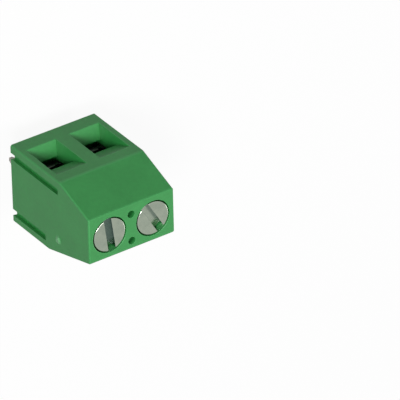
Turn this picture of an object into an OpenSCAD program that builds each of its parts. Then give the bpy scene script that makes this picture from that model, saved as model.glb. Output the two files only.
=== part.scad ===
// Two-pole screw terminal for a circuit board, with rising clamp cages.
// The board plane is z = 0, the solder pins point down, the screws face up and
// the wires enter from the front, at -y. The pin row lies on the x axis.
// Depths are written as distances from the front face, and from_front() puts
// each piece in its place.

/* [Housing] */
// Distance between the two poles
pole_pitch = 5.08; // [4.4:0.01:7.62]
// Front to back depth at the board
body_d = 8.9; // [8.6:0.1:12]
// Height of the screw face above the board
body_h = 13.6; // [13.5:0.1:18]
// What the pair of poles gives up to the neighbouring blocks in a row
row_gap = 0.16; // [0:0.01:0.4]
// Height at which the front face starts to lean back
front_bend_z = 8.6; // [7.6:0.1:10]
// How far the front face leans back at the top
front_run = 1.85; // [0.5:0.05:2.2]
// Height at which the back face starts to lean forward
rear_bend_z = 6.3; // [6.2:0.1:10]
// How far the back face leans forward at the top
rear_run = 1.98; // [0.5:0.05:2.3]

/* [Wire entries] */
// Plastic left between the two funnels at the front face
funnel_rib = 1.56; // [1:0.02:2.2]
// Lower edge of the funnels at the front face
funnel_low_z = 1.7; // [1.3:0.05:2.1]
// Upper edge of the funnels at the front face
funnel_high_z = 7.2; // [5.6:0.05:7.5]
// How much each side wall of a funnel closes in
funnel_taper = 0.26; // [0:0.01:0.5]
// Depth of the lower funnel wall
funnel_low_d = 1.5; // [1:0.05:1.6]
// Depth of the upper, shallow funnel wall
funnel_high_d = 0.85; // [0.5:0.05:1.4]
// Floor height of the straight hole behind the funnel
hole_low_z = 2.3; // [2.15:0.05:2.8]
// Roof height of the straight hole behind the funnel
hole_high_z = 5.06; // [4.6:0.02:5.4]
// Thickness of the lip that the lower funnel wall ends in
lip_t = 0.1; // [0.06:0.02:0.3]
// How far the hole drops behind that lip
lip_drop = 1; // [0:0.05:1.1]

/* [Screw face] */
// Gap round a screw head in its well
head_gap = 0.125; // [0.05:0.005:0.3]
// Gap round a screw shank in the hole under its well
neck_gap = 0.1; // [0.05:0.01:0.2]
// Thickness of the web that the screw heads sit on
neck_t = 0.9; // [0.5:0.05:1]
// Diameter of the two small marker holes between the wells
marker_dia = 0.8; // [0.4:0.02:1]
// Distance between the two marker holes
marker_pitch = 3.03; // [2.8:0.01:3.6]
// How far the pair of marker holes sits behind the screw line
marker_shift = 0.11; // [0:0.01:0.3]
// Depth of the marker holes
marker_depth = 2.6; // [1:0.1:3]

/* [Dovetails] */
// Distance of the front groove from the front face
front_groove_y = 0.9; // [0.8:0.01:1.1]
// Distance of the rear groove from the back face
rear_groove_y = 0.76; // [0.6:0.01:0.9]
// Width of both grooves at their mouth
groove_w = 0.7; // [0.5:0.01:0.8]
// Depth of both grooves
groove_depth = 0.45; // [0.3:0.01:0.5]
// How much each flank widens towards the floor
groove_flare = 0.08; // [0:0.01:0.12]
// Length of the front groove, upwards from the board
front_groove_len = 8.3; // [6:0.1:8.5]
// Length of the rear groove, upwards from the board
rear_groove_len = 5.8; // [4:0.1:6.1]
// Gap all round a tongue when it sits in a neighbour's groove
tongue_gap = 0.05; // [0.02:0.01:0.08]
// Radius of the locating pip beside the rear groove
pip_r = 0.44; // [0.3:0.02:0.5]
// Height of the locating pip
pip_h = 0.16; // [0.05:0.01:0.25]

/* [Base cover] */
// Thickness of the cover that closes the underside
cover_t = 0.8; // [0.6:0.05:0.8]
// Width of the housing rim round the cover
rim_w = 0.42; // [0.4:0.01:0.46]
// Plastic kept round the side grooves, where the cover is notched
groove_wall_t = 0.35; // [0.3:0.01:0.5]
// Gap between the cover and the rim
cover_gap = 0.03; // [0.01:0.01:0.06]
// Gap round each pin in the cover
pin_gap = 0.08; // [0.02:0.01:0.1]
// Distance of the latch slit from the rim
latch_slit_edge = 0.24; // [0.2:0.02:0.5]
// Length of the latch slit in the cover
latch_slit_len = 0.86; // [0.5:0.02:1.2]
// Width of the latch slit in the cover
latch_slit_w = 0.2; // [0.1:0.01:0.3]
// Diameter of the round ejector mark under the cover
mark_dia = 0.32; // [0.2:0.02:0.5]
// Depth of the ejector mark
mark_depth = 0.12; // [0.05:0.01:0.3]
// Distance of the ejector mark's centre from the side of the block
mark_side = 0.7; // [0.66:0.01:1.2]
// Distance of the ejector mark's centre from the front face
mark_front = 2.4; // [2.25:0.05:3.5]

/* [Contacts] */
// Thickness of the contact strip
strip_t = 0.75; // [0.6:0.005:0.9]
// Width of the contact strip
strip_w = 1.5; // [1.2:0.05:2]
// Inner radius of the strip's bends
strip_bend_r = 0.25; // [0.1:0.05:0.4]
// Height of the underside of the clamping bar
bar_low_z = 5.4; // [5.2:0.05:5.4]
// Distance of the bar's end from the front face
bar_front_y = 1.7; // [1.65:0.05:1.9]
// Width of a solder pin across the block
pin_w = 0.7; // [0.6:0.01:1]
// Thickness of a solder pin, which is coined thinner than its strip
pin_t = 0.55; // [0.45:0.01:0.75]
// Distance of the pin row from the front face
pin_y = 4.5; // [4:0.05:4.8]
// Gap round the strip in its slot in the housing
strip_gap = 0.1; // [0.05:0.01:0.15]
// Length of the solder pins below the board plane
pin_len = 4; // [2.5:0.1:4.5]
// Length of the tapered tip of a pin
pin_tip_len = 0.7; // [0.3:0.05:1]
// Side of the square end of a pin
pin_tip_w = 0.36; // [0.2:0.02:0.5]

/* [Clamp cages] */
// Plastic between the two cage wells
partition_t = 1.08; // [1:0.01:1.4]
// Distance of the cages from the front face
cage_front_y = 2.1; // [2:0.05:2.2]
// How far a cage can go down from the pose shown, to open fully
cage_drop = 0.75; // [0:0.05:1]
// Gap left where a cage stops
stop_gap = 0.05; // [0.02:0.01:0.1]
// Thickness of a cage's sides
cage_side_t = 0.4; // [0.3:0.02:0.5]
// Thickness of a cage's floor
cage_floor_t = 0.5; // [0.4:0.02:0.6]
// Thickness of a cage's tapped top
cage_top_t = 1.3; // [1:0.05:1.4]
// Radius of a cage's outer corners
cage_corner_r = 0.5; // [0.45:0.05:0.7]
// Width of the raised wire pad on a cage's floor
pad_w = 1.5; // [1:0.05:1.6]
// Height of the raised wire pad
pad_h = 0.3; // [0.1:0.02:0.4]
// How far the pad reaches in front of the cage
pad_nose = 0.15; // [0:0.05:0.35]
// Gap between a cage and its well
cage_gap = 0.1; // [0.05:0.01:0.15]

/* [Clamp screws] */
// Diameter of a screw head
head_dia = 3.66; // [3:0.02:4.32]
// Height of a screw head
head_h = 2; // [1.4:0.05:2.2]
// How far the heads lie below the screw face
head_sink = 0.02; // [0:0.01:0.5]
// Chamfer round a head
head_chamfer = 0.1; // [0.05:0.01:0.3]
// Width of the driver slot
slot_w = 0.86; // [0.5:0.02:1]
// Depth of the driver slot
slot_depth = 0.85; // [0.6:0.05:1.3]
// Outer diameter of the thread
shank_dia = 2.9; // [2.2:0.01:2.95]
// Length of the bevelled screw tip
tip_len = 0.4; // [0.2:0.05:0.6]
// Running gap round the shank inside the tapped hole
thread_gap = 0.05; // [0.02:0.01:0.08]
// Gap left under a screw head and above the clamping bar
seat_gap = 0.05; // [0.02:0.01:0.1]
// Turn of the left screw's slot, from the pole line
slot_turn_left = 120; // [0:1:180]
// Turn of the right screw's slot, from the pole line
slot_turn_right = 97; // [0:1:180]

/* [Hidden] */
$fn = 64;
cut = 0.5;
pole_x = pole_pitch / 2;
body_w = 2 * pole_pitch - row_gap;
half_w = body_w / 2;
front_top_y = front_run;
rear_top_y = body_d - rear_run;
screw_y = (front_top_y + rear_top_y) / 2;
rear_dovetail_y = body_d - rear_groove_y - groove_w;

funnel_w = pole_pitch - funnel_rib;
hole_w = funnel_w - 2 * funnel_taper;

strip_top_z = bar_low_z + strip_t;
well_w = pole_pitch - partition_t;
cage_w = well_w - 2 * cage_gap;
cage_len = 2 * (screw_y - cage_front_y);
cage_rear_y = cage_front_y + cage_len;
cage_inner_w = cage_w - 2 * cage_side_t;
cage_inner_r = 0.15;
cage_low_z = cover_t + strip_t + stop_gap + cage_drop;
cage_roof_z = strip_top_z + stop_gap + cage_drop;
cage_inner_h = cage_roof_z - cage_low_z - cage_floor_t;
cage_h = cage_floor_t + cage_inner_h + cage_top_t;
pad_front_y = cage_front_y - pad_nose;
tapped_dia = shank_dia + 2 * thread_gap;

head_top_z = body_h - head_sink;
head_low_z = head_top_z - head_h;
seat_z = head_low_z - seat_gap;
well_top_z = seat_z - neck_t;
tip_z = strip_top_z + seat_gap;
tip_dia = shank_dia - 2 * tip_len;
well_dia = head_dia + 2 * head_gap;
neck_dia = shank_dia + 2 * neck_gap;

well_front_y = cage_front_y - cage_gap;
well_rear_y = cage_rear_y + cage_gap;
riser_front_y = well_rear_y + strip_gap;
riser_rear_y = riser_front_y + strip_t;
strip_slot_w = max(strip_w, pad_w) + 2 * strip_gap;
strip_slot_y = min(bar_front_y, pad_front_y) - strip_gap;

// Moves a piece whose depths count from the front face onto the pin row
module from_front() {
    translate([0, -pin_y, 0])
        children();
}

// A flat outline in (y, z), given a thickness w along x about the middle
module across(w) {
    rotate([90, 0, 90])
        linear_extrude(height = w, center = true)
            children();
}

// A flat outline in (x, z), drawn out along y from y0 for a length len
module along(y0, len) {
    translate([0, y0 + len, 0])
        rotate([90, 0, 0])
            linear_extrude(height = len)
                children();
}

// A box that is centred on x = 0 and spans the given y and z
module centred_box(w, y0, y1, z0, z1) {
    translate([-w / 2, y0, z0])
        cube([w, y1 - y0, z1 - z0]);
}

// A rectangle from z = 0 up, centred on x, with four true round corners
module rounded_rect(w, h, r) {
    translate([-w / 2 + r, 0])
        square([w - 2 * r, h]);
    translate([-w / 2, r])
        square([w, h - 2 * r]);
    for (x = [-w / 2 + r, w / 2 - r], z = [r, h - r])
        translate([x, z])
            circle(r = r);
}

module at_each_pole() {
    for (x = [-pole_x, pole_x])
        translate([x, 0, 0])
            children();
}

// Side outline of the block, in (y, z)
module body_outline() {
    polygon([
        [0, 0], [body_d, 0], [body_d, rear_bend_z], [rear_top_y, body_h],
        [front_top_y, body_h], [0, front_bend_z]
    ]);
}

// One wire entry: a funnel with four flat walls, a straight hole and the drop behind its lip
module wire_entry() {
    intersection() {
        across(funnel_w)
            polygon([
                [0, funnel_low_z], [funnel_low_d, hole_low_z],
                [funnel_low_d, hole_high_z], [funnel_high_d, hole_high_z],
                [0, funnel_high_z]
            ]);
        linear_extrude(height = funnel_high_z)
            polygon([
                [-funnel_w / 2, 0], [funnel_w / 2, 0],
                [hole_w / 2, funnel_low_d], [-hole_w / 2, funnel_low_d]
            ]);
    }
    across(funnel_w)
        polygon([
            [-cut, funnel_low_z], [0, funnel_low_z],
            [0, funnel_high_z], [-cut, funnel_high_z]
        ]);
    centred_box(hole_w, funnel_high_d, well_front_y + cut, hole_low_z, hole_high_z);
    centred_box(
        hole_w, funnel_low_d + lip_t, well_front_y + cut,
        hole_low_z - lip_drop, hole_high_z
    );
}

// The well for one cage, with the slot that takes the contact strip
module cage_well() {
    centred_box(well_w, well_front_y, well_rear_y, 0, well_top_z);
    centred_box(
        strip_slot_w, strip_slot_y, riser_rear_y + strip_gap,
        0, strip_top_z + strip_gap
    );
}

// The well and neck for one screw
module screw_well() {
    translate([0, screw_y, seat_z])
        cylinder(d = well_dia, h = body_h - seat_z + cut);
    translate([0, screw_y, well_top_z - cut])
        cylinder(d = neck_dia, h = neck_t + 2 * cut);
}

module marker_holes() {
    for (side = [-1, 1])
        translate([0, screw_y + marker_shift + side * marker_pitch / 2, body_h - marker_depth])
            cylinder(d = marker_dia, h = marker_depth + cut, $fn = 32);
}

// Outline in (x, y) of a dovetail whose mouth starts at y0 on the line x = 0
module dovetail(y0, w, depth, flare) {
    polygon([[0, y0], [depth, y0 - flare], [depth, y0 + w + flare], [0, y0 + w]]);
}

module side_groove(y0, len) {
    translate([half_w, 0, -cut])
        linear_extrude(height = len + cut)
            mirror([1, 0])
                union() {
                    dovetail(y0, groove_w, groove_depth, groove_flare);
                    translate([-cut, y0])
                        square([cut, groove_w]);
                }
}

module side_tongue(y0, len) {
    translate([-half_w, 0, tongue_gap])
        linear_extrude(height = len - 2 * tongue_gap)
            mirror([1, 0])
                dovetail(
                    y0 + tongue_gap + groove_flare / 2, groove_w - 2 * tongue_gap - groove_flare,
                    groove_depth - tongue_gap, groove_flare
                );
}

module locating_pip() {
    pip_y = rear_dovetail_y - 0.55;
    pip_z = rear_groove_len + 2.3;
    translate([half_w, pip_y, pip_z])
        rotate([0, 90, 0])
            rotate_extrude()
                polygon([[0, -pip_h], [pip_r, -pip_h], [pip_r, 0], [pip_r / 2, pip_h], [0, pip_h]]);
}

// Outline in (x, y) of the cover, notched round the grooves, less a gap all round
module cover_outline(gap) {
    edge = rim_w + gap;
    notch_x = groove_depth + groove_wall_t + gap;
    notch_front_y = front_groove_y + groove_w + groove_flare + groove_wall_t + gap;
    notch_rear_y = rear_dovetail_y - groove_flare - groove_wall_t - gap;
    translate([-half_w + edge, edge])
        square([body_w - edge - notch_x, body_d - 2 * edge]);
    translate([-half_w + edge, notch_front_y])
        square([body_w - 2 * edge, notch_rear_y - notch_front_y]);
}

// Recess under the block that takes the base cover
module cover_recess() {
    translate([0, 0, -cut])
        linear_extrude(height = cover_t + cut)
            cover_outline(0);
}

module housing() {
    color("forestgreen")
        from_front() {
            difference() {
                across(body_w)
                    body_outline();
                at_each_pole() {
                    wire_entry();
                    cage_well();
                    screw_well();
                }
                marker_holes();
                side_groove(front_groove_y, front_groove_len);
                side_groove(rear_dovetail_y, rear_groove_len);
                cover_recess();
            }
            side_tongue(front_groove_y, front_groove_len);
            side_tongue(rear_dovetail_y, rear_groove_len);
            locating_pip();
        }
}

module base_cover() {
    color("seagreen")
        from_front()
            difference() {
                linear_extrude(height = cover_t)
                    cover_outline(cover_gap);
                at_each_pole()
                    centred_box(
                        pin_w + 2 * pin_gap, pin_y - pin_t / 2 - pin_gap,
                        pin_y + pin_t / 2 + pin_gap, -cut, cover_t + cut
                    );
                translate([-half_w + rim_w + latch_slit_edge, pin_y - latch_slit_len / 2, -cut])
                    cube([latch_slit_w, latch_slit_len, cover_t + 2 * cut]);
                translate([half_w - mark_side, mark_front, -cut])
                    cylinder(d = mark_dia, h = mark_depth + cut, $fn = 32);
            }
}

// A quarter of a bend of the strip, in the first quadrant
module strip_bend() {
    outer_r = strip_bend_r + strip_t;
    intersection() {
        difference() {
            circle(r = outer_r);
            circle(r = strip_bend_r);
        }
        square(outer_r);
    }
}

// Side outline of the strip in (y, z): foot, riser behind the cage, clamping bar
module strip_outline() {
    outer_r = strip_bend_r + strip_t;
    bend_y = riser_rear_y - outer_r;
    foot_y = pin_y - strip_t / 2;
    translate([foot_y, cover_t])
        square([bend_y - foot_y, strip_t]);
    translate([bend_y, cover_t + outer_r])
        mirror([0, 1])
            strip_bend();
    translate([riser_front_y, cover_t + outer_r])
        square([strip_t, strip_top_z - cover_t - 2 * outer_r]);
    translate([bend_y, strip_top_z - outer_r])
        strip_bend();
    translate([bar_front_y, bar_low_z])
        square([bend_y - bar_front_y, strip_t]);
}

// A solder pin with a tip that narrows on all four sides
module solder_pin() {
    shoulder_z = -pin_len + pin_tip_len;
    intersection() {
        along(pin_y - pin_t / 2, pin_t)
            polygon([
                [-pin_w / 2, cover_t + strip_t / 2], [-pin_w / 2, shoulder_z],
                [-pin_tip_w / 2, -pin_len], [pin_tip_w / 2, -pin_len],
                [pin_w / 2, shoulder_z], [pin_w / 2, cover_t + strip_t / 2]
            ]);
        across(pin_w)
            polygon([
                [pin_y - pin_t / 2, cover_t + strip_t / 2], [pin_y - pin_t / 2, shoulder_z],
                [pin_y - pin_tip_w / 2, -pin_len], [pin_y + pin_tip_w / 2, -pin_len],
                [pin_y + pin_t / 2, shoulder_z], [pin_y + pin_t / 2, cover_t + strip_t / 2]
            ]);
    }
}

module contact(x) {
    color("lightgray")
        from_front()
            translate([x, 0, 0]) {
                across(strip_w)
                    strip_outline();
                solder_pin();
            }
}

// Folded box that the screw lifts: the wire is held between its pad and the bar
module clamp_cage(x) {
    color("silver")
        from_front()
            translate([x, 0, cage_low_z])
                difference() {
                    union() {
                        difference() {
                            along(cage_front_y, cage_len)
                                rounded_rect(cage_w, cage_h, cage_corner_r);
                            translate([0, 0, cage_floor_t])
                                along(cage_front_y - cut, cage_len + 2 * cut)
                                    rounded_rect(cage_inner_w, cage_inner_h, cage_inner_r);
                        }
                        centred_box(
                            pad_w, pad_front_y, cage_rear_y,
                            cage_floor_t / 2, cage_floor_t + pad_h
                        );
                    }
                    translate([0, screw_y, cage_floor_t + cage_inner_h - cut])
                        cylinder(d = tapped_dia, h = cage_top_t + 2 * cut);
                }
}

// Slotted cheese-head screw that turns in its well and drives the cage
module clamp_screw(x, turn) {
    color("gainsboro")
        from_front()
            translate([x, screw_y, 0])
                difference() {
                    rotate_extrude()
                        polygon([
                            [0, tip_z], [tip_dia / 2, tip_z], [shank_dia / 2, tip_z + tip_len],
                            [shank_dia / 2, head_low_z], [head_dia / 2, head_low_z],
                            [head_dia / 2, head_top_z - head_chamfer],
                            [head_dia / 2 - head_chamfer, head_top_z], [0, head_top_z]
                        ]);
                    rotate([0, 0, turn])
                        translate([-head_dia, -slot_w / 2, head_top_z - slot_depth])
                            cube([2 * head_dia, slot_w, slot_depth + cut]);
                }
}

housing();
base_cover();
contact(-pole_x);  // contact_left
contact(pole_x);  // contact_right
clamp_cage(-pole_x);  // clamp_cage_left
clamp_cage(pole_x);  // clamp_cage_right
clamp_screw(-pole_x, slot_turn_left);  // clamp_screw_left
clamp_screw(pole_x, slot_turn_right);  // clamp_screw_right
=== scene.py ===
import math
import bpy
from mathutils import Matrix, Vector


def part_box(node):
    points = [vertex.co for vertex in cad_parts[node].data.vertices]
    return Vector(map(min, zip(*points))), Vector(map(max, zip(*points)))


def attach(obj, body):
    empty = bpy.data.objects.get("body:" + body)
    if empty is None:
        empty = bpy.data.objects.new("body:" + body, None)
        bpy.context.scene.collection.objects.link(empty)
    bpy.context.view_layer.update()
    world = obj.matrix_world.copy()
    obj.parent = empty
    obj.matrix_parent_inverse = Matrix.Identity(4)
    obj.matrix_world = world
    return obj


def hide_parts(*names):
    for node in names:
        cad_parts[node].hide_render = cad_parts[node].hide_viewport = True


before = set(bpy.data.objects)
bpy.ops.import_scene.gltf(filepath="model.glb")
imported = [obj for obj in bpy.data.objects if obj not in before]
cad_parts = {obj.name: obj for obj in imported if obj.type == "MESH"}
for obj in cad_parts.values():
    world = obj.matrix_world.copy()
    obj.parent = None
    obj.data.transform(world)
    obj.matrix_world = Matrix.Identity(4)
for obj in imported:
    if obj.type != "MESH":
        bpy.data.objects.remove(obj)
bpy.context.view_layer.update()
mm = 0.001
sides = ("left", "right")
weldReach = 0.0005 * mm      # corners closer than this are one
onReach = 0.004 * mm         # how close a corner lies to a face that it is on
slack = 0.01 * mm
squareOn = 0.99              # a face pointing along an axis, by its normal
edgeOn = 0.01                # a face standing along an axis
lowBlock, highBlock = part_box("housing")
print("frame loaded:", len(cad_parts), "pieces")


# ---------- working helpers ----------

def clearSelection():
    if bpy.context.object and bpy.context.object.mode != "OBJECT":
        bpy.ops.object.mode_set(mode="OBJECT")
    bpy.ops.object.select_all(action="DESELECT")


def makeActive(piece):
    clearSelection()
    piece.select_set(True)
    bpy.context.view_layer.objects.active = piece


def editAll(piece):
    makeActive(piece)
    bpy.ops.object.mode_set(mode="EDIT")
    bpy.ops.mesh.select_all(action="SELECT")


def leaveEdit():
    bpy.ops.object.mode_set(mode="OBJECT")


def settle(piece):
    makeActive(piece)
    bpy.ops.object.transform_apply(location=True, rotation=True, scale=True)


def applyModifiers(piece):
    makeActive(piece)
    for modifier in list(piece.modifiers):
        bpy.ops.object.modifier_apply(modifier=modifier.name)


def combine(piece, tool, operation):
    join = piece.modifiers.new("combine", "BOOLEAN")
    join.operation = operation
    join.solver = "EXACT"
    join.object = tool
    applyModifiers(piece)
    bpy.data.objects.remove(tool)
    editAll(piece)
    bpy.ops.mesh.dissolve_degenerate(threshold=weldReach)
    leaveEdit()


def addCylinder(name, radius, low, high, at=(0, 0), vertices=96):
    clearSelection()
    bpy.ops.mesh.primitive_cylinder_add(
        vertices=vertices, radius=radius, depth=high - low,
        location=(at[0], at[1], (low + high) / 2))
    piece = bpy.context.object
    piece.name = name
    settle(piece)
    return piece


def addBlock(name, lowCorner, highCorner):
    clearSelection()
    middle = (Vector(lowCorner) + Vector(highCorner)) / 2
    bpy.ops.mesh.primitive_cube_add(size=1, location=middle)
    piece = bpy.context.object
    piece.name = name
    piece.scale = Vector(highCorner) - Vector(lowCorner)
    settle(piece)
    return piece


# a copy of a CAD piece, welded into clean flat faces so that its edges can be worked
def weldedCopy(nodeName, pieceName):
    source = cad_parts[nodeName]
    piece = bpy.data.objects.new(pieceName, source.data.copy())
    bpy.context.scene.collection.objects.link(piece)
    piece.data.materials.clear()
    editAll(piece)
    bpy.ops.mesh.remove_doubles(threshold=weldReach)
    bpy.ops.mesh.customdata_custom_splitnormals_clear()
    bpy.ops.mesh.faces_shade_flat()
    bpy.ops.mesh.dissolve_limited(angle_limit=math.radians(0.5))
    leaveEdit()
    return piece


# a second one of the same piece, with its own mesh, turned about z and put in its place
def repeated(piece, name, turn, at):
    twin = piece.copy()
    twin.data = piece.data.copy()
    twin.name = name
    bpy.context.scene.collection.objects.link(twin)
    twin.rotation_euler.z = math.radians(turn)
    twin.location = (at[0], at[1], 0)
    settle(twin)
    return twin


# rounds every sharp edge that wanted() picks by its two ends and its two faces' normals,
# and notes the slim new faces for the material, which paints them paler: partly edge wear, partly a
# painted highlight
def roundEdges(piece, width, segments, wanted, sharper=10):
    mesh = piece.data
    if "wearAndSheen" not in mesh.attributes:
        mesh.attributes.new("wearAndSheen", "FLOAT", "FACE")
    makeActive(piece)
    bpy.context.tool_settings.mesh_select_mode = (False, True, False)
    meeting = {}
    for face in mesh.polygons:
        face.select = False
        for key in face.edge_keys:
            meeting.setdefault(key, []).append(face.normal.copy())
    for vertex in mesh.vertices:
        vertex.select = False
    picked = 0
    for edge in mesh.edges:
        normals = meeting.get(edge.key, [])
        a, b = [mesh.vertices[i].co for i in edge.vertices]
        sharp = len(normals) == 2 and normals[0].angle(normals[1], 0) > math.radians(sharper)
        edge.select = bool(sharp and wanted(a, b, normals))
        picked += edge.select
    if not picked:
        print("no edges found to round on", piece.name)
        return
    bpy.ops.object.mode_set(mode="EDIT")
    bpy.ops.mesh.bevel(offset=width, segments=segments, affect="EDGES", miter_outer="ARC", loop_slide=True)
    leaveEdit()
    mesh = piece.data
    # the faces marked here are painted paler: partly wear, partly a painted highlight
    wearAndSheen = mesh.attributes["wearAndSheen"].data
    for face in mesh.polygons:
        corners = [mesh.vertices[i].co for i in face.vertices]
        around = sum((a - b).length for a, b in zip(corners, corners[1:] + corners[:1]))
        if face.select and face.area < width * around:
            wearAndSheen[face.index].value = 1


# takes out the corners that cuts leave part way along an edge: the faces on its two sides
# could be split the same way there and leave a doubled sliver
def straighten(piece, reach=0.0015 * mm):
    mesh = piece.data
    ends = {}
    for edge in mesh.edges:
        a, b = edge.vertices
        ends.setdefault(a, []).append(b)
        ends.setdefault(b, []).append(a)
    makeActive(piece)
    bpy.context.tool_settings.mesh_select_mode = (True, False, False)
    for item in list(mesh.polygons) + list(mesh.edges):
        item.select = False
    picked = 0
    for vertex in mesh.vertices:
        others = ends.get(vertex.index, [])
        vertex.select = False
        if len(others) == 2:
            a, b = [mesh.vertices[i].co for i in others]
            along = (b - a).normalized()
            offLine = vertex.co - a - along * (vertex.co - a).dot(along)
            vertex.select = offLine.length < reach
        picked += vertex.select
    if picked:
        bpy.ops.object.mode_set(mode="EDIT")
        bpy.ops.mesh.dissolve_verts()
        leaveEdit()


# smooth over the rounded edges, while the big faces stay flat
def smoothFinish(piece, angle=32):
    straighten(piece)
    makeActive(piece)
    bpy.ops.object.shade_smooth_by_angle(angle=math.radians(angle))
    flatFaces = piece.modifiers.new("flatFaces", "WEIGHTED_NORMAL")
    flatFaces.weight = 100
    flatFaces.keep_sharp = True
    applyModifiers(piece)


def handOver(piece, material, body, node):
    piece.data.materials.clear()
    piece.data.materials.append(material)
    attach(piece, body)
    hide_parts(node)


def near(value, target, reach=onReach):
    return abs(value - target) < reach


# ---------- camera ----------

cameraSettings = {
    "azimuth": 41.35,
    "elevation": 44.25,
    "roll": 127.11,
    "distance": 0.6,
    "lens": 550,
    "aim": (-8.69 * mm, 0.55 * mm, 12.76 * mm),      # beside the block, which stands off centre
}


def addCamera(s):
    turn = math.radians(s["azimuth"])
    rise = math.radians(s["elevation"])
    level = math.cos(rise)
    back = Vector((math.sin(turn) * level, -math.cos(turn) * level, math.sin(rise)))
    data = bpy.data.cameras.new("camera")
    data.lens = s["lens"]
    data.clip_start = 0.01
    camera = bpy.data.objects.new("camera", data)
    bpy.context.scene.collection.objects.link(camera)
    upright = Matrix.Rotation(turn, 4, "Z") @ Matrix.Rotation(math.pi / 2 - rise, 4, "X")
    rolled = upright @ Matrix.Rotation(math.radians(s["roll"]), 4, "Z")
    camera.matrix_world = Matrix.Translation(Vector(s["aim"]) + back * s["distance"]) @ rolled
    bpy.context.scene.camera = camera


addCamera(cameraSettings)
print("camera set")


# ---------- materials ----------

def startMaterial(name):
    material = bpy.data.materials.new(name)
    material.use_nodes = True
    nodes = material.node_tree.nodes
    links = material.node_tree.links
    shader = nodes["Principled BSDF"]
    place = nodes.new("ShaderNodeTexCoord")
    return material, nodes, links, shader, place


def addNoise(nodes, links, place, scale, detail=3, roughness=0.55, distortion=0.0):
    noise = nodes.new("ShaderNodeTexNoise")
    noise.inputs["Scale"].default_value = scale
    noise.inputs["Detail"].default_value = detail
    noise.inputs["Roughness"].default_value = roughness
    noise.inputs["Distortion"].default_value = distortion
    links.new(place.outputs["Object"], noise.inputs["Vector"])
    return noise


def addRamp(nodes, links, source, stops):
    ramp = nodes.new("ShaderNodeValToRGB")
    elements = ramp.color_ramp.elements
    while len(elements) < len(stops):
        elements.new(0.5)
    for element, (position, colour) in zip(elements, stops):
        element.position = position
        element.color = (*colour, 1)
    links.new(source, ramp.inputs["Fac"])
    return ramp


def addRange(nodes, links, source, low, high, fromLow=0.0, fromHigh=1.0):
    spread = nodes.new("ShaderNodeMapRange")
    spread.inputs["From Min"].default_value = fromLow
    spread.inputs["From Max"].default_value = fromHigh
    spread.inputs["To Min"].default_value = low
    spread.inputs["To Max"].default_value = high
    links.new(source, spread.inputs["Value"])
    return spread


def addBump(nodes, links, source, strength, distance, before=None):
    bump = nodes.new("ShaderNodeBump")
    bump.inputs["Strength"].default_value = strength
    bump.inputs["Distance"].default_value = distance
    links.new(source, bump.inputs["Height"])
    if before:
        links.new(before.outputs["Normal"], bump.inputs["Normal"])
    return bump


def addBlend(nodes, links, share, first, second):
    blend = nodes.new("ShaderNodeMix")
    blend.data_type = "RGBA"
    links.new(share, blend.inputs["Factor"])
    links.new(first, blend.inputs[6])
    if isinstance(second, tuple):
        blend.inputs[7].default_value = (*second, 1)
    else:
        links.new(second, blend.inputs[7])
    return blend


def addProduct(nodes, links, source, factor):
    product = nodes.new("ShaderNodeMath")
    product.operation = "MULTIPLY"
    product.inputs[1].default_value = factor
    links.new(source, product.inputs[0])
    return product


# how much an edge is painted paler, from the faces noted while the edges were rounded: partly edge wear,
# partly a painted highlight
def addWearAndSheen(nodes):
    wearAndSheen = nodes.new("ShaderNodeAttribute")
    wearAndSheen.attribute_name = "wearAndSheen"
    return wearAndSheen


greenPlastic = {
    "shadow": (0.031, 0.285, 0.062),
    "light": (0.039, 0.325, 0.074),
    "edge": (0.075, 0.41, 0.125),     # rounded edges painted a little paler: partly wear, partly a painted highlight
    "wearSheenShare": 0.35,
    "mottle": (0.92, 0.92, 0.92),     # how far the speckle darkens it
    "pale": (0.17, 0.46, 0.21),       # paler round patch over the pip
    "holeShade": (0.010, 0.135, 0.024),    # painted shade down inside the marker holes
    "holeShadeRun": 0.4 * mm,              # over which the painted shade gets that dark
    "flowScale": 240,                 # soft clouds a few millimetres long
    "speckleScale": 2600,
    "grainScale": 9000,               # spark-eroded grain of the mould
    "roughLow": 0.36,
    "roughHigh": 0.46,
    "grainDepth": 0.004 * mm,
    "grainStrength": 0.22,
    "waveDepth": 0.012 * mm,
    "waveStrength": 0.12,
    "refraction": 1.56,
    "sheenLevel": 0.55,
}


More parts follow.
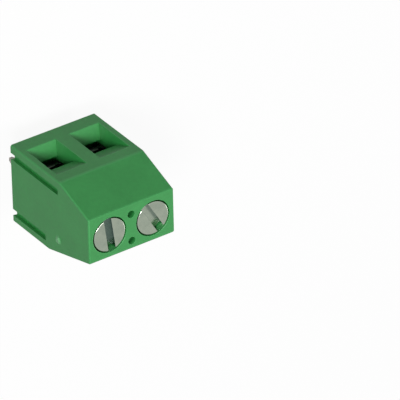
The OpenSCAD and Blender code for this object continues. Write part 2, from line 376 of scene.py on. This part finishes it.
def mouldedPlastic(name, s, paleSpot=None, holeShadeTop=None):
    material, nodes, links, shader, place = startMaterial(name)
    flow = addNoise(nodes, links, place, s["flowScale"], 3, 0.5, 0.6)
    speckle = addNoise(nodes, links, place, s["speckleScale"], 4, 0.6)
    grain = addNoise(nodes, links, place, s["grainScale"], 2)
    tint = addRamp(nodes, links, flow.outputs["Fac"], [(0.3, s["shadow"]), (0.7, s["light"])])
    mottle = addRamp(nodes, links, speckle.outputs["Fac"], [(0.35, s["mottle"]), (0.65, (1, 1, 1))])
    colour = nodes.new("ShaderNodeMix")
    colour.data_type = "RGBA"
    colour.blend_type = "MULTIPLY"
    colour.inputs["Factor"].default_value = 1
    links.new(tint.outputs["Color"], colour.inputs[6])
    links.new(mottle.outputs["Color"], colour.inputs[7])
    # paler rounded edges: partly wear, partly a painted highlight
    wearAndSheen = addWearAndSheen(nodes)
    share = addProduct(nodes, links, wearAndSheen.outputs["Fac"], s["wearSheenShare"])
    colour = addBlend(nodes, links, share.outputs["Value"], colour.outputs[2], s["edge"])
    if paleSpot:
        spot = nodes.new("ShaderNodeVectorMath")
        spot.operation = "DISTANCE"
        spot.inputs[1].default_value = paleSpot["at"]
        links.new(place.outputs["Object"], spot.inputs[0])
        halo = addRange(nodes, links, spot.outputs["Value"], paleSpot["share"], 0.0,
                        paleSpot["inner"], paleSpot["outer"])
        colour = addBlend(nodes, links, halo.outputs["Result"], colour.outputs[2], s["pale"])
    # painted shade: the faces of the marker holes darken with depth below the top
    if holeShadeTop:
        across = nodes.new("ShaderNodeSeparateXYZ")
        links.new(place.outputs["Object"], across.inputs["Vector"])
        shadeWithDepth = addRange(nodes, links, across.outputs["Z"], 0, 1, holeShadeTop, holeShadeTop - s["holeShadeRun"])
        holeShadeMask = nodes.new("ShaderNodeAttribute")
        holeShadeMask.attribute_name = "holeShadeMask"
        both = nodes.new("ShaderNodeMath")
        both.operation = "MULTIPLY"
        links.new(holeShadeMask.outputs["Fac"], both.inputs[0])
        links.new(shadeWithDepth.outputs["Result"], both.inputs[1])
        colour = addBlend(nodes, links, both.outputs["Value"], colour.outputs[2], s["holeShade"])
    rough = addRange(nodes, links, flow.outputs["Fac"], s["roughLow"], s["roughHigh"])
    wave = addBump(nodes, links, speckle.outputs["Fac"], s["waveStrength"], s["waveDepth"])
    fine = addBump(nodes, links, grain.outputs["Fac"], s["grainStrength"], s["grainDepth"], wave)
    links.new(colour.outputs[2], shader.inputs["Base Color"])
    links.new(rough.outputs["Result"], shader.inputs["Roughness"])
    links.new(fine.outputs["Normal"], shader.inputs["Normal"])
    shader.inputs["IOR"].default_value = s["refraction"]
    shader.inputs["Specular IOR Level"].default_value = s["sheenLevel"]
    return material


zincPlate = {
    "dark": (0.35, 0.41, 0.33),
    "light": (0.43, 0.485, 0.39),
    # paler colour for rounded edges: partly wear, partly a painted highlight
    "edge": (0.47, 0.52, 0.44),
    "slotShade": (0.20, 0.29, 0.30),      # walls of the slot, painted darker and bluish: painted shade and reflection in the slot
    "cloudScale": 1100,
    "grainScale": 15000,
    "roughLow": 0.16,
    "roughHigh": 0.28,
    "grainDepth": 0.003 * mm,
}
tinPlate = {
    "dark": (0.50, 0.46, 0.42),
    "light": (0.72, 0.67, 0.61),
    # paler colour for rounded edges: partly wear, partly a painted highlight
    "edge": (0.80, 0.76, 0.70),
    "cloudScale": 1000,
    "grainScale": 14000,
    "roughLow": 0.20,
    "roughHigh": 0.34,
    "grainDepth": 0.002 * mm,
}
# near-black cage plating: painted shade that keeps the wire holes dark; its paler edge colour is a painted
# highlight along the cut ends
shadeBlackPlate = {
    "dark": (0.045, 0.047, 0.045),
    "light": (0.085, 0.086, 0.082),
    "edge": (0.20, 0.20, 0.19),
    "cloudScale": 1300,
    "grainScale": 12000,
    "roughLow": 0.30,
    "roughHigh": 0.45,
    "grainDepth": 0.002 * mm,
}


# share of the paler edge colour on rounded edges: partly wear, partly a painted highlight
plateWearSheenShare = 0.6
plateGrainStrength = 0.3


def platedMetal(name, s):
    material, nodes, links, shader, place = startMaterial(name)
    cloud = addNoise(nodes, links, place, s["cloudScale"], 5, 0.62, 0.3)
    grain = addNoise(nodes, links, place, s["grainScale"], 2)
    tint = addRamp(nodes, links, cloud.outputs["Fac"], [(0.3, s["dark"]), (0.7, s["light"])])
    # paler rounded edges: partly wear, partly a painted highlight
    wearAndSheen = addWearAndSheen(nodes)
    share = addProduct(nodes, links, wearAndSheen.outputs["Fac"], plateWearSheenShare)
    colour = addBlend(nodes, links, share.outputs["Value"], tint.outputs["Color"], s["edge"])
    # painted shade and reflection on the slot walls, darker and bluish
    if "slotShade" in s:
        slotShade = nodes.new("ShaderNodeAttribute")
        slotShade.attribute_name = "slotShade"
        colour = addBlend(nodes, links, slotShade.outputs["Fac"], colour.outputs[2], s["slotShade"])
    rough = addRange(nodes, links, cloud.outputs["Fac"], s["roughLow"], s["roughHigh"])
    fine = addBump(nodes, links, grain.outputs["Fac"], plateGrainStrength, s["grainDepth"])
    links.new(colour.outputs[2], shader.inputs["Base Color"])
    links.new(rough.outputs["Result"], shader.inputs["Roughness"])
    links.new(fine.outputs["Normal"], shader.inputs["Normal"])
    shader.inputs["Metallic"].default_value = 1
    return material


pip = {
    "at": (highBlock.x, 2.39 * mm, 8.1 * mm),
    "inner": 0.30 * mm,
    "outer": 0.55 * mm,
    "share": 0.8,
}
# top of the painted shade inside the marker holes
markerShadeTop = highBlock.z - 0.05 * mm
housingPlastic = mouldedPlastic("housingPlastic", greenPlastic, pip, markerShadeTop)
coverPlastic = mouldedPlastic("coverPlastic", greenPlastic)
screwZinc = platedMetal("screwZinc", zincPlate)
contactTin = platedMetal("contactTin", tinPlate)
# the cages get the near-black plating: painted shade inside the wire holes
shadeBlackCage = platedMetal("shadeBlackCage", shadeBlackPlate)
print("materials made")


# ---------- housing ----------

housing = {
    "sideX": 5.0 * mm,               # both flat sides
    "frontBendZ": 8.6 * mm,
    "backBendZ": 6.3 * mm,
    "outline": 0.16 * mm,            # all long outer edges
    "mouths": 0.07 * mm,             # edges of the wire funnels
    "rims": 0.06 * mm,               # screw wells
    "smallRims": 0.04 * mm,
    "grooveLips": 0.035 * mm,
    "tongues": 0.05 * mm,
    "mouthSpan": (1.5 * mm, 7.4 * mm),      # heights between which the funnels open
    "markerReach": 0.45 * mm,        # the marker holes lie within this of the middle
    "markerWall": 0.41 * mm,
    "markerDepth": 2.7 * mm,
    "acrossAtLeast": 9 * mm,         # length of an edge that crosses the whole block
    "grooveInset": 0.5 * mm,
    "grooveAtLeast": 3 * mm,
}


def makeHousing(s):
    piece = weldedCopy("housing", "moulded_housing")
    front, back, top = lowBlock.y, highBlock.y, highBlock.z
    topPoints = [v.co.y for v in piece.data.vertices
                 if near(v.co.z, top) and near(abs(v.co.x), s["sideX"])]
    profile = [(front, 0), (front, s["frontBendZ"]), (min(topPoints), top),
               (max(topPoints), top), (back, s["backBendZ"]), (back, 0)]
    mouthLow, mouthHigh = s["mouthSpan"]

    def onProfile(p):      # on the outline that both sides share
        for (y0, z0), (y1, z1) in zip(profile, profile[1:]):
            length = math.hypot(y1 - y0, z1 - z0)
            offLine = abs((p.y - y0) * (z1 - z0) - (p.z - z0) * (y1 - y0)) / length
            if offLine < onReach and min(z0, z1) - slack < p.z < max(z0, z1) + slack:
                return True
        return False

    def isOutline(a, b, normals):
        if not (onProfile(a) and onProfile(b)) or near(a.z, 0) and near(b.z, 0):
            return False
        if near(a.y, b.y) and near(a.z, b.z):      # across the block, at a bend or beside the top
            return abs(a.x - b.x) > s["acrossAtLeast"] and all(abs(n.x) < edgeOn for n in normals)
        onSide = near(abs(a.x), s["sideX"]) and near(b.x, a.x)
        meetsSide = any(abs(n.x) > squareOn for n in normals)
        meetsRim = any(abs(n.x) < edgeOn and n.z > -edgeOn for n in normals)
        return onSide and meetsSide and meetsRim

    def isMouth(a, b, normals):
        onFront = all(near(p.y, front) and mouthLow < p.z < mouthHigh for p in (a, b))
        return onFront and any(n.y < -squareOn for n in normals)

    def isTopRim(a, b, normals):
        meetsTop = near(a.z, top) and near(b.z, top) and any(n.z > squareOn for n in normals)
        return meetsTop and any(abs(n.z) < edgeOn for n in normals)

    def isWellRim(a, b, normals):
        return isTopRim(a, b, normals) and min(abs(a.x), abs(b.x)) > s["markerReach"]

    def isMarkerRim(a, b, normals):
        return isTopRim(a, b, normals) and max(abs(a.x), abs(b.x)) < s["markerReach"]

    def isGrooveLip(a, b, normals):
        onSide = all(near(p.x, s["sideX"]) for p in (a, b)) and any(n.x > squareOn for n in normals)
        upright = near(a.y, b.y) and abs(a.z - b.z) > s["grooveAtLeast"]
        return onSide and upright and front + s["grooveInset"] < a.y < back - s["grooveInset"]

    def isTongueEdge(a, b, normals):
        onTongue = near(a.x, lowBlock.x) and near(b.x, lowBlock.x)
        return onTongue and any(n.x < -squareOn for n in normals)

    roundEdges(piece, s["outline"], 3, isOutline)
    roundEdges(piece, s["mouths"], 2, isMouth)
    roundEdges(piece, s["rims"], 3, isWellRim)
    roundEdges(piece, s["smallRims"], 2, isMarkerRim)
    roundEdges(piece, s["grooveLips"], 2, isGrooveLip)
    roundEdges(piece, s["tongues"], 2, isTongueEdge)
    mesh = piece.data
    # marks the marker holes for painted shade
    holeShadeMask = mesh.attributes.new("holeShadeMask", "FLOAT", "FACE").data
    for face in mesh.polygons:      # the walls and floors of the marker holes, marked for painted shade
        points = [mesh.vertices[i].co for i in face.vertices]
        if all(abs(p.x) < s["markerWall"] and top - s["markerDepth"] < p.z for p in points):
            holeShadeMask[face.index].value = 1
    smoothFinish(piece)
    handOver(piece, housingPlastic, "block", "housing")


makeHousing(housing)
print("housing made")


# ---------- base cover ----------

cover = {"edge": 0.03 * mm}


def makeCover(s):
    piece = weldedCopy("base_cover", "snap_in_cover")

    def isUnderEdge(a, b, normals):
        return near(a.z, 0) and near(b.z, 0) and any(n.z < -squareOn for n in normals)

    roundEdges(piece, s["edge"], 2, isUnderEdge)
    smoothFinish(piece)
    handOver(piece, coverPlastic, "block", "base_cover")


makeCover(cover)
print("cover made")


# ---------- contact strips ----------

contact = {
    "edge": 0.06 * mm,
    "tipEdge": 0.04 * mm,
    "grooves": 3,               # bite marks under the clamping bar
    "grooveWidth": 1.3 * mm,
    "grooveDepth": 0.12 * mm,
    "grooveStep": 0.55 * mm,
    "grooveStart": 0.55 * mm,
    "thickness": 0.75 * mm,
    "footAbove": 0.85 * mm,     # what stands higher is strip
    "pinBelow": 0.5 * mm,       # what stands lower is pin
}


# a bar with a three-cornered section along x, point up or down, for cutting one groove
def addGrooveTool(x, y, z, width, depth, pointsUp):
    clearSelection()
    bpy.ops.mesh.primitive_cylinder_add(
        vertices=3, radius=2 * depth, depth=width,
        location=(0, 0, 0), rotation=(0, math.pi / 2, 0))
    tool = bpy.context.object
    settle(tool)
    highest = max(v.co.z for v in tool.data.vertices)
    lowest = min(v.co.z for v in tool.data.vertices)
    tops = sum(1 for v in tool.data.vertices if v.co.z > highest - 0.1 * depth)
    if (tops == 2) == pointsUp:      # it lies point down where up is wanted, or the reverse
        tool.rotation_euler.x = math.pi
        settle(tool)
        lowest, highest = -highest, -lowest
    tip = highest if pointsUp else lowest
    tool.location = (x, y, z + (depth if pointsUp else -depth) - tip)
    settle(tool)
    return tool


def makeContact(side, s):
    piece = weldedCopy(f"contact_{side}", f"contact_strip_{side}")
    low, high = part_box(f"contact_{side}")
    middle = (low.x + high.x) / 2
    barLow = high.z - s["thickness"]

    def isLongEdge(a, b, normals):
        onFlank = all(near(abs(p.x - middle), (high.x - low.x) / 2) for p in (a, b))
        isStrip = a.z > s["footAbove"] and b.z > s["footAbove"]
        return onFlank and isStrip and any(abs(n.x) > squareOn for n in normals)

    def isPinEdge(a, b, normals):
        return a.z < s["pinBelow"] and b.z < s["pinBelow"]

    roundEdges(piece, s["edge"], 2, isLongEdge)
    roundEdges(piece, s["tipEdge"], 2, isPinEdge)
    for i in range(s["grooves"]):
        y = low.y + s["grooveStart"] + i * s["grooveStep"]
        tool = addGrooveTool(middle, y, barLow, s["grooveWidth"], s["grooveDepth"], True)
        combine(piece, tool, "DIFFERENCE")
    smoothFinish(piece)
    handOver(piece, contactTin, "block", f"contact_{side}")


for side in sides:
    makeContact(side, contact)
print("contacts made")


# ---------- threads ----------

threadShape = {
    "pitch": 0.5 * mm,
    "stepsPerTurn": 40,
    "footShare": 0.43,      # half the tooth's width in pitches, where it stands
    "crestShare": 0.07,     # and at its crest
}


# one tooth wound up around z as a closed solid
def addWoundTooth(name, inner, outer, low, turns, thread):
    pitch, steps = thread["pitch"], thread["stepsPerTurn"]
    clearSelection()
    bpy.ops.mesh.primitive_plane_add(size=2)
    tooth = bpy.context.object
    tooth.name = name
    for vertex in tooth.data.vertices:      # the plane becomes a blunt tooth standing in x and z
        isInner = vertex.co.x < 0
        rise = thread["footShare"] if isInner else thread["crestShare"]
        vertex.co = (inner if isInner else outer, 0, low + math.copysign(rise, vertex.co.y) * pitch)
    editAll(tooth)
    bpy.ops.mesh.delete(type="ONLY_FACE")
    leaveEdit()
    winding = tooth.modifiers.new("winding", "SCREW")
    winding.screw_offset = pitch
    winding.iterations = turns
    winding.steps = steps
    winding.render_steps = steps
    applyModifiers(tooth)
    editAll(tooth)
    bpy.ops.mesh.remove_doubles(threshold=weldReach)
    bpy.ops.mesh.select_all(action="SELECT")
    bpy.ops.mesh.fill_holes(sides=4)
    bpy.ops.mesh.select_all(action="SELECT")
    bpy.ops.mesh.normals_make_consistent(inside=False)
    leaveEdit()
    return tooth


# ---------- clamp cages ----------

cage = {
    "edge": 0.06 * mm,
    "biteGrooves": 3,             # cross grooves in the wire pad
    "biteWidth": 1.9 * mm,
    "biteDepth": 0.10 * mm,
    "biteStep": 0.9 * mm,
    "threadOuter": 1.68 * mm,
    "threadInner": 1.44 * mm,
    "topThickness": 1.3 * mm,
    "threadTurns": 5,
    "holeRadius": 1.5 * mm,
    "holeReach": 0.02 * mm,
    "holeRounding": 0.12 * mm,
    "padHeight": 0.8 * mm,        # of the wire pad's top over the cage's underside
}


def makeCage(side, s, thread):
    piece = weldedCopy(f"clamp_cage_{side}", f"rising_cage_{side}")
    low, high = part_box(f"clamp_cage_{side}")
    lowScrew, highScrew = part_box(f"clamp_screw_{side}")
    axis = ((lowScrew.x + highScrew.x) / 2, (lowScrew.y + highScrew.y) / 2)
    middle = (low.x + high.x) / 2

    def isFaceEdge(a, b, normals):      # the cut ends of the folded sheet
        squareFaces = all(n.y < -squareOn or abs(n.y) < edgeOn for n in normals)
        front = min(a.y, b.y) > low.y - slack and squareFaces
        ends = near(a.y, b.y) and any(abs(n.y) > squareOn for n in normals)
        return ends and (front or a.y > high.y - slack)

    def isHoleRim(a, b, normals):
        radii = [math.hypot(p.x - axis[0], p.y - axis[1]) for p in (a, b)]
        around = all(abs(radius - s["holeRadius"]) < s["holeReach"] for radius in radii)
        return around and near(a.z, b.z)

    roundEdges(piece, s["holeRounding"], 1, isHoleRim)
    roundEdges(piece, s["edge"], 2, isFaceEdge)
    padTop = low.z + s["padHeight"]
    for i in range(s["biteGrooves"]):
        y = axis[1] + (i - (s["biteGrooves"] - 1) / 2) * s["biteStep"]
        tool = addGrooveTool(middle, y, padTop, s["biteWidth"], s["biteDepth"], False)
        combine(piece, tool, "DIFFERENCE")
    start = high.z - s["topThickness"] - thread["pitch"] / 2
    cutter = addWoundTooth(
        "threadCutter", s["threadInner"], s["threadOuter"], start, s["threadTurns"], thread)
    cutter.location = (axis[0], axis[1], 0)
    settle(cutter)
    combine(piece, cutter, "DIFFERENCE")
    smoothFinish(piece)
    handOver(piece, shadeBlackCage, f"cage_{side}", f"clamp_cage_{side}")


for side in sides:
    makeCage(side, cage, threadShape)
print("cages made")


# ---------- clamp screws ----------

screwShape = {
    "headRadius": 1.83 * mm,
    "headHeight": 2.0 * mm,
    "headRounding": 0.09 * mm,
    "underRounding": 0.05 * mm,
    "slotWidth": 0.86 * mm,
    "slotDepth": 0.85 * mm,
    "slotRounding": 0.025 * mm,
    "slotTurn": {"left": 120, "right": 97},
    "shankRadius": 1.45 * mm,
    "rootRadius": 1.17 * mm,
    "toothSunk": 0.06 * mm,        # how far the tooth reaches into the core
    "tipLength": 0.4 * mm,
    "plainNeck": 0.7 * mm,
}


def makeScrew(s, thread):
    low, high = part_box("clamp_screw_left")
    headLow = high.z - s["headHeight"]

    def isTopRim(a, b, normals):
        return near(a.z, high.z) and near(b.z, high.z) and any(n.z > squareOn for n in normals)

    def isUnderRim(a, b, normals):
        return near(a.z, headLow) and near(b.z, headLow) and any(n.z < -squareOn for n in normals)

    def isSlotEdge(a, b, normals):
        onTop = near(a.z, high.z) and near(b.z, high.z) and any(n.z > squareOn for n in normals)
        return onTop and any(abs(n.y) > squareOn for n in normals)

    head = addCylinder("screwHead", s["headRadius"], headLow, high.z)
    roundEdges(head, s["headRounding"], 3, isTopRim)
    roundEdges(head, s["underRounding"], 1, isUnderRim)
    slot = addBlock(
        "slotCutter",
        (-3 * mm, -s["slotWidth"] / 2, high.z - s["slotDepth"]),
        (3 * mm, s["slotWidth"] / 2, high.z + 1 * mm))
    combine(head, slot, "DIFFERENCE")
    # marks the slot walls for painted shade and reflection, darker and bluish
    slotShade = head.data.attributes.new("slotShade", "FLOAT", "FACE").data
    for face in head.data.polygons:
        if abs(face.normal.y) > squareOn and abs(face.center.y) < 0.51 * s["slotWidth"]:
            slotShade[face.index].value = 1
    roundEdges(head, s["slotRounding"], 2, isSlotEdge)

    steps = thread["stepsPerTurn"]
    shank = addCylinder("shank", s["rootRadius"], low.z, headLow + 0.2 * mm, vertices=steps)
    turns = int((headLow - s["plainNeck"] - low.z) / thread["pitch"]) + 1
    inner, outer = s["rootRadius"] - s["toothSunk"], s["shankRadius"] - 0.002 * mm
    tooth = addWoundTooth("thread", inner, outer, low.z - 0.2 * mm, turns, thread)
    combine(shank, tooth, "UNION")
    # just inside the CAD box, and cut to a cone at the tip
    envelopeRadius = s["shankRadius"] - 0.001 * mm
    envelope = addCylinder("envelope", envelopeRadius, low.z, headLow + 0.1 * mm, vertices=steps * 2)

    def isTip(a, b, normals):
        return near(a.z, low.z) and near(b.z, low.z)

    roundEdges(envelope, s["tipLength"] * 0.98, 1, isTip)
    combine(shank, envelope, "INTERSECT")
    combine(head, shank, "UNION")
    return head


patternScrew = makeScrew(screwShape, threadShape)
for side in sides:
    lowScrew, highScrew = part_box(f"clamp_screw_{side}")
    axis = ((lowScrew.x + highScrew.x) / 2, (lowScrew.y + highScrew.y) / 2)
    screw = repeated(patternScrew, f"slotted_screw_{side}", screwShape["slotTurn"][side], axis)
    smoothFinish(screw, 30)
    handOver(screw, screwZinc, f"screw_{side}", f"clamp_screw_{side}")
bpy.data.objects.remove(patternScrew)
print("screws made")


# ---------- floor, world and lights ----------

# what the eye and mirror-like finishes see white, while matt surfaces get only the plain fill
def seenWhite(nodes, links, seen, mirrored):
    path = nodes.new("ShaderNodeLightPath")
    inGloss = nodes.new("ShaderNodeMath")
    inGloss.operation = "MAXIMUM"
    links.new(path.outputs["Is Glossy Ray"], inGloss.inputs[0])
    links.new(path.outputs["Is Transmission Ray"], inGloss.inputs[1])
    total = nodes.new("ShaderNodeMath")
    total.operation = "ADD"
    toEye = addProduct(nodes, links, path.outputs["Is Camera Ray"], seen)
    inMirror = addProduct(nodes, links, inGloss.outputs["Value"], mirrored)
    links.new(toEye.outputs["Value"], total.inputs[0])
    links.new(inMirror.outputs["Value"], total.inputs[1])
    return total


floorSettings = {
    "size": 6.0,
    "bounce": 0.43,       # how much light the floor throws back on the block
    "paleness": 0.95,     # how pale it looks
    "glow": 0.93,
    "mirrored": 0.2,      # and in shiny finishes
}


def addFloor(s):
    clearSelection()
    bpy.ops.mesh.primitive_plane_add(size=s["size"], location=(0, 0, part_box("contact_left")[0].z))
    floor = bpy.context.object
    floor.name = "floor"
    material = bpy.data.materials.new("paleFloor")
    material.use_nodes = True
    nodes, links = material.node_tree.nodes, material.node_tree.links
    nodes.clear()
    matt = nodes.new("ShaderNodeBsdfDiffuse")
    path = nodes.new("ShaderNodeLightPath")
    paleness = addRange(nodes, links, path.outputs["Is Camera Ray"], s["bounce"], s["paleness"])
    links.new(paleness.outputs["Result"], matt.inputs["Color"])
    glow = nodes.new("ShaderNodeEmission")
    share = seenWhite(nodes, links, s["glow"], s["mirrored"])
    side = nodes.new("ShaderNodeNewGeometry")
    through = nodes.new("ShaderNodeBsdfTransparent")
    seen = nodes.new("ShaderNodeMixShader")
    whole = nodes.new("ShaderNodeMixShader")
    out = nodes.new("ShaderNodeOutputMaterial")
    links.new(share.outputs["Value"], seen.inputs["Fac"])
    links.new(matt.outputs["BSDF"], seen.inputs[1])
    links.new(glow.outputs["Emission"], seen.inputs[2])
    links.new(side.outputs["Backfacing"], whole.inputs["Fac"])
    links.new(seen.outputs["Shader"], whole.inputs[1])
    links.new(through.outputs["BSDF"], whole.inputs[2])
    links.new(whole.outputs["Shader"], out.inputs["Surface"])
    floor.data.materials.append(material)


worldSettings = {
    "fill": 0.12,
    "mirroredLow": 0.3,      # the studio as shiny finishes see it, level with the block
    "mirroredHigh": 1.0,     # and overhead
}


def addWorld(s):
    world = bpy.data.worlds.new("studio")
    bpy.context.scene.world = world
    world.use_nodes = True
    nodes, links = world.node_tree.nodes, world.node_tree.links
    nodes.clear()
    fill = nodes.new("ShaderNodeBackground")
    fill.inputs["Strength"].default_value = s["fill"]
    place = nodes.new("ShaderNodeTexCoord")
    upwards = nodes.new("ShaderNodeSeparateXYZ")
    links.new(place.outputs["Generated"], upwards.inputs["Vector"])
    height = addRange(nodes, links, upwards.outputs["Z"], s["mirroredLow"], s["mirroredHigh"], 0.0, 0.6)
    path = nodes.new("ShaderNodeLightPath")
    shown = nodes.new("ShaderNodeMath")
    shown.operation = "MAXIMUM"
    links.new(height.outputs["Result"], shown.inputs[0])
    links.new(path.outputs["Is Camera Ray"], shown.inputs[1])
    white = nodes.new("ShaderNodeBackground")
    links.new(shown.outputs["Value"], white.inputs["Strength"])
    share = seenWhite(nodes, links, 1, 1)
    mix = nodes.new("ShaderNodeMixShader")
    out = nodes.new("ShaderNodeOutputWorld")
    links.new(share.outputs["Value"], mix.inputs["Fac"])
    links.new(fill.outputs["Background"], mix.inputs[1])
    links.new(white.outputs["Background"], mix.inputs[2])
    links.new(mix.outputs["Shader"], out.inputs["Surface"])


lamps = {
    "topLight": {"at": (-0.02, -0.09, 0.49), "size": 0.15, "power": 0.6},
    "sideLight": {"at": (0.275, -0.145, 0.393), "size": 0.12, "power": 1.75},
    "rearLight": {"at": (-0.44, 0.20, 0.10), "size": 0.20, "power": 0.6},
}


def addLamp(name, s):
    data = bpy.data.lights.new(name, "AREA")
    data.energy = s["power"]
    data.size = s["size"]
    lamp = bpy.data.objects.new(name, data)
    bpy.context.scene.collection.objects.link(lamp)
    lamp.location = s["at"]
    lamp.rotation_euler = Vector(s["at"]).to_track_quat("Z", "Y").to_euler()


addFloor(floorSettings)
addWorld(worldSettings)
for name, settings in lamps.items():
    addLamp(name, settings)
bpy.context.scene.view_settings.view_transform = "Standard"
print("stage lit")

clearSelection()
